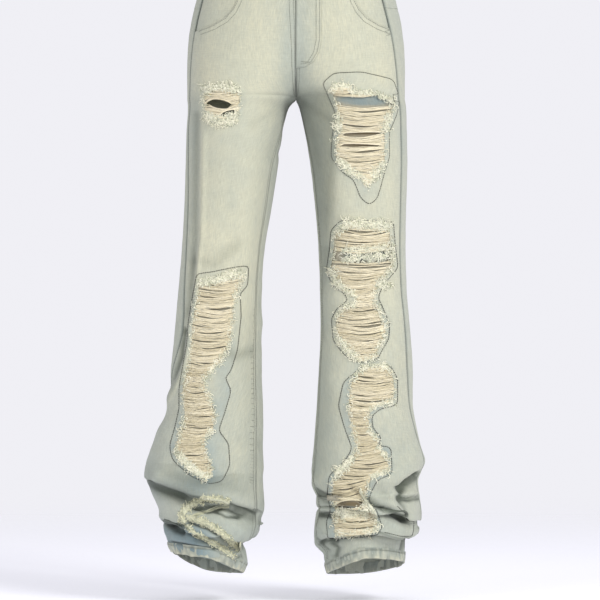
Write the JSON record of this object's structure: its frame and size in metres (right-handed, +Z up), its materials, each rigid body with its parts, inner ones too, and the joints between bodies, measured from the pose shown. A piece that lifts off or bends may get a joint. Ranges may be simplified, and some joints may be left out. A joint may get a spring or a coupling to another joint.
{
  "type": "ripped jeans",
  "caption": "Worn, hollow pair of faded flare jeans, bunched over the ankles, with frayed rips over sewn-in patches.",
  "frame": {"origin": "middle of the waist opening, level with the top of the waistband at the back and sides, where the wearer's waist holds the jeans", "axes": "+Z up, out of the waist; the front faces -Y; the wearer's left leg is on +X"},
  "size_m": [0.4526, 0.2551, 1.0109],
  "materials": {
    "denim": "bleached denim with a yellow-green tint, twill weave",
    "trim_denim": "doubled bleached denim, topstitched",
    "patch": "blue-grey denim that shows behind the rips",
    "weft": "loose cream weft threads with frayed edges",
    "hem": "turned and stitched hem, roped by washing",
    "button": "aged, dull"
  },
  "bodies": {
    "root": {"weft_thighRight": "weft", "weft_shinRight": "weft", "patch_shinRight": "patch", "front_right": "denim", "pocket_facing_right": "denim", "back_right": "denim", "yoke_right": "denim", "back_pocket_right": "denim", "hem_right": "hem", "weft_thighLeft": "weft", "patch_thighLeft": "patch", "weft_kneeLeft": "weft", "patch_kneeLeft": "patch", "weft_shinLeft": "weft", "patch_shinLeft": "patch", "front_left": "denim", "pocket_facing_left": "denim", "back_left": "denim", "yoke_left": "denim", "back_pocket_left": "denim", "hem_left": "hem", "torn_band_right": "weft", "fly_flap": "trim_denim", "waistband": "trim_denim", "waist_button": "button", "belt_loop_front_left": "trim_denim", "belt_loop_front_right": "trim_denim", "belt_loop_side_right": "trim_denim", "belt_loop_side_left": "trim_denim", "belt_loop_back": "trim_denim"}
  },
  "joints": []
}
